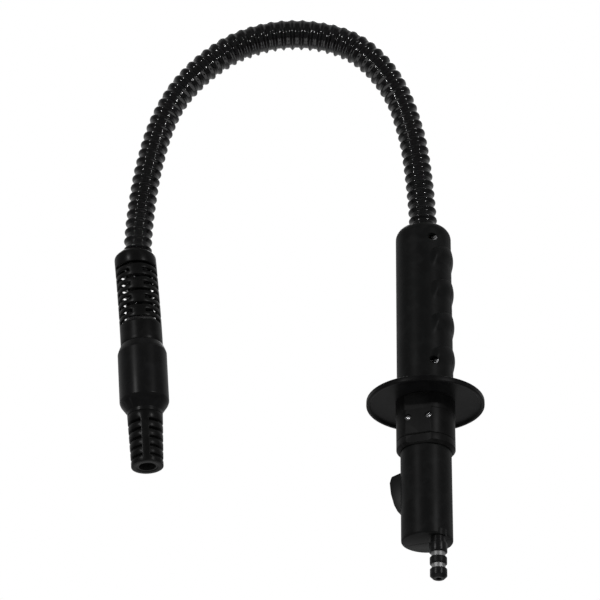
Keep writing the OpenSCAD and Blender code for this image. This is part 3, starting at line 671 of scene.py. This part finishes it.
# ---------------------------------------------------------------- slotted reliefs
def slotted_tube(name, radius, levels, cuts, thickness, place, slot, step=radians(4)):
    """An open tube of one wall with slots left out. cuts are (low z, high z, mid angle, half angle)."""
    marks = set()
    for _, _, mid, half in cuts:
        marks |= {round((mid - half) % (2 * pi), 6), round((mid + half) % (2 * pi), 6)}
    marks = sorted(marks)
    thetas = []
    for i, a in enumerate(marks):
        b = marks[(i + 1) % len(marks)] + (2 * pi if i + 1 == len(marks) else 0)
        n = max(1, int(round((b - a) / step)))
        thetas += [a + (b - a) * k / n for k in range(n)]
    zs = set(round(z, 4) for z in levels) | {round(c[k], 4) for c in cuts for k in (0, 1)}
    zs = sorted(zs, reverse=True)
    verts = [(radius(z) * cos(a), radius(z) * sin(a), z) for z in zs for a in thetas]
    n = len(thetas)
    faces = []
    for i in range(len(zs) - 1):
        zc = (zs[i] + zs[i + 1]) / 2
        for k in range(n):
            nxt = thetas[(k + 1) % n] + (2 * pi if k + 1 == n else 0)
            ac = (thetas[k] + nxt) / 2
            inside = any(
                low < zc < high and abs((ac - mid + pi) % (2 * pi) - pi) < half
                for low, high, mid, half in cuts
            )
            if not inside:
                m = (k + 1) % n
                faces.append((i * n + k, (i + 1) * n + k, (i + 1) * n + m, i * n + m))
    obj = new_piece(name, verts, faces, place, slot)
    s = obj.modifiers.new("wall", "SOLIDIFY")
    s.thickness = thickness / 1000
    s.offset = -1
    s.use_even_offset = False
    keep_modifiers(obj)
    return obj


def relief_radius(z):
    """The upper relief's rounded shoulder over its straight side."""
    if z > -3.4:
        return 15.3 - 3.5 * (z + 3.4) / 3.4
    if z > -5.4:
        t = (z + 5.4) / 2
        return 16.1 - 0.8 * t ** 2
    return 16.1


RELIEF_SLOTS, RELIEF_SLOT_Z, RELIEF_SLOT_PITCH, RELIEF_SLOT_HALF = 9, -15.3, 6.03, 1.35
RELIEF_LENGTH, RELIEF_LEAN = 82, 2.3
relief_cuts = []
for i in range(RELIEF_SLOTS):
    for s in (0, pi):
        mid = s + (-pi / 2 if i % 2 == 0 else 0)
        z = RELIEF_SLOT_Z - i * RELIEF_SLOT_PITCH
        relief_cuts.append((z - RELIEF_SLOT_HALF, z + RELIEF_SLOT_HALF, mid, radians(71.5)))
relief_levels = [0, -1.7, -3.4, -3.8, -4.4, -5.4] + heights(-66.5, -81.8, 3)
relief = slotted_tube(
    "relief_upper", relief_radius, relief_levels, relief_cuts, 1.7, ON_CONNECTOR, "relief"
)
soften(relief, 0.4, 2, 40)
to_relief = ON_CONNECTOR.inverted()
for v in relief.data.vertices:
    local = to_relief @ v.co
    local.x -= RELIEF_LEAN * max(0.0, (local.z + RELIEF_LENGTH) / RELIEF_LENGTH) ** 1.6
    v.co = ON_CONNECTOR @ local
finish_piece(relief, "root", "relief", "upper_relief", angle=40)

sleeve_outline = round_turns(
    [
        (14.7, -82), (16.3, -82), (18.1, -86.6), (18.7, -88.6), (18.7, -129), (17.9, -131.2),
        (13.4, -138), (13.4, -141), (9.2, -141), (9.2, -135), (12, -127), (12, -94.2), (14.7, -94.2),
    ],
    [0, 0.4, 1.5, 2, 3, 2.5, 1.2, 0.4, 0, 0, 0, 0, 0], 6,
)
sleeve = revolve("connector_boot", sleeve_outline, ON_CONNECTOR, "sleeve", sides=160)
finish_piece(sleeve, "root", "sleeve", "connector_sleeve")

TAIL_TOP, TAIL_LOW = -141.2, -182.7
TAIL_SLOTS, TAIL_FIRST_SLOT, TAIL_SLOT_PITCH, TAIL_SLOT_HALF = 5, 7.8, 7.15, 1.2
tail_cuts = []
for i in range(TAIL_SLOTS):
    z = TAIL_TOP - TAIL_FIRST_SLOT - i * TAIL_SLOT_PITCH
    for s in (0, pi):
        tail_cuts.append((z - TAIL_SLOT_HALF, z + TAIL_SLOT_HALF, s, radians(76)))


def tail_radius(z):
    t = (TAIL_TOP - z) / (TAIL_TOP - TAIL_LOW - 3.4)
    return 13.4 - 1.3 * min(1, t)


tail = slotted_tube(
    "relief_lower", tail_radius, [TAIL_TOP, TAIL_TOP - 3, TAIL_LOW + 3.4, TAIL_LOW], tail_cuts, 4.2,
    ON_CONNECTOR, "relief",
)
soften(tail, 0.45, 2, 40)
finish_piece(tail, "root", "relief", "tail_relief", angle=40)
tail_core = revolve(
    "relief_lower_core",
    [(7.95, TAIL_TOP - 0.2), (9.8, TAIL_TOP - 0.2), (9.8, TAIL_LOW + 1), (7.95, TAIL_LOW + 1)],
    ON_CONNECTOR, "relief", sides=96,
)
finish_piece(tail_core, "root", "relief")

# ---------------------------------------------------------------- CAD nodes that show
for sub in frame["record"]["subparts"]:
    obj = nodes[sub["node"]]
    obj.data.materials.clear()
    obj.data.materials.append(MATERIALS[sub["material_slot"]])

# ---------------------------------------------------------------- floor, lights and world
FLOOR_R, FLOOR_Z, FLOOR_SIDES = 1.7, -2.6, 96   # in metres
floor_mesh = bpy.data.meshes.new("floor")
rim = [
    (FLOOR_R * cos(2 * pi * i / FLOOR_SIDES), FLOOR_R * sin(2 * pi * i / FLOOR_SIDES), FLOOR_Z)
    for i in range(FLOOR_SIDES)
]
floor_mesh.from_pydata(rim, [], [tuple(range(FLOOR_SIDES))])
floor = bpy.data.objects.new("floor", floor_mesh)
scene.collection.objects.link(floor)
floor_look = bpy.data.materials.new("floor_paper")
floor_look.use_nodes = True
paper = floor_look.node_tree.nodes["Principled BSDF"]
paper.inputs["Base Color"].default_value = (0.66, 0.66, 0.66, 1)
paper.inputs["Roughness"].default_value = 0.9
paper.inputs["Specular IOR Level"].default_value = 0.1
floor_mesh.materials.append(floor_look)


def lamp(name, azimuth, elevation, distance, size, power):
    """A square softbox that faces the object. Azimuth 0 is in front."""
    data = bpy.data.lights.new(name, "AREA")
    data.shape = "SQUARE"
    data.size = size
    data.energy = power
    obj = bpy.data.objects.new(name, data)
    a, e = radians(azimuth), radians(elevation)
    away = Vector((sin(a) * cos(e), -cos(a) * cos(e), sin(e)))
    spot = target + away * distance
    obj.matrix_world = Matrix.Translation(spot) @ away.to_track_quat("Z", "Y").to_matrix().to_4x4()
    scene.collection.objects.link(obj)


lamp("softbox_left", -40, 14, 1.7, 0.1, 4.2)
lamp("softbox_right", 40, 14, 1.7, 0.1, 4.2)
lamp("softbox_back", 180, 50, 2.0, 0.9, 6)

world = bpy.data.worlds.new("studio")
scene.world = world
world.use_nodes = True
wt = world.node_tree
wt.nodes.clear()
out = wt.nodes.new("ShaderNodeOutputWorld")
path = wt.nodes.new("ShaderNodeLightPath")
coord = wt.nodes.new("ShaderNodeTexCoord")


def math(op, a, b=None):
    n = wt.nodes.new("ShaderNodeMath")
    n.operation = op
    for socket, value in zip(n.inputs, (a, b)):
        if value is None:
            continue
        if isinstance(value, (int, float)):
            socket.default_value = value
        else:
            wt.links.new(value, socket)
    return n.outputs[0]


def background(strength):
    n = wt.nodes.new("ShaderNodeBackground")
    n.inputs["Color"].default_value = (1, 1, 1, 1)
    if isinstance(strength, (int, float)):
        n.inputs["Strength"].default_value = strength
    else:
        wt.links.new(strength, n.inputs["Strength"])
    return n.outputs[0]


# Gloss sees a white sweep behind and beside the object, and a dim studio in front of it.
facing = wt.nodes.new("ShaderNodeVectorMath")
facing.operation = "DOT_PRODUCT"
facing.inputs[1].default_value = (0, 0.93, 0.37)
wt.links.new(coord.outputs["Generated"], facing.inputs[0])
ramp = wt.nodes.new("ShaderNodeMapRange")
ramp.interpolation_type = "SMOOTHSTEP"
ramp.inputs["From Min"].default_value = -0.25
ramp.inputs["From Max"].default_value = 0.85
ramp.inputs["To Min"].default_value = 0.05
ramp.inputs["To Max"].default_value = 0.42
wt.links.new(facing.outputs["Value"], ramp.inputs["Value"])
sweep = background(ramp.outputs["Result"])
plain = background(0.8)
white = background(1.0)
first = wt.nodes.new("ShaderNodeMixShader")
wt.links.new(path.outputs["Is Glossy Ray"], first.inputs[0])
wt.links.new(plain, first.inputs[1])
wt.links.new(sweep, first.inputs[2])
second = wt.nodes.new("ShaderNodeMixShader")
direct = math("MAXIMUM", path.outputs["Is Camera Ray"], path.outputs["Is Transmission Ray"])
wt.links.new(direct, second.inputs[0])
wt.links.new(first.outputs[0], second.inputs[1])
wt.links.new(white, second.inputs[2])
wt.links.new(second.outputs[0], out.inputs["Surface"])
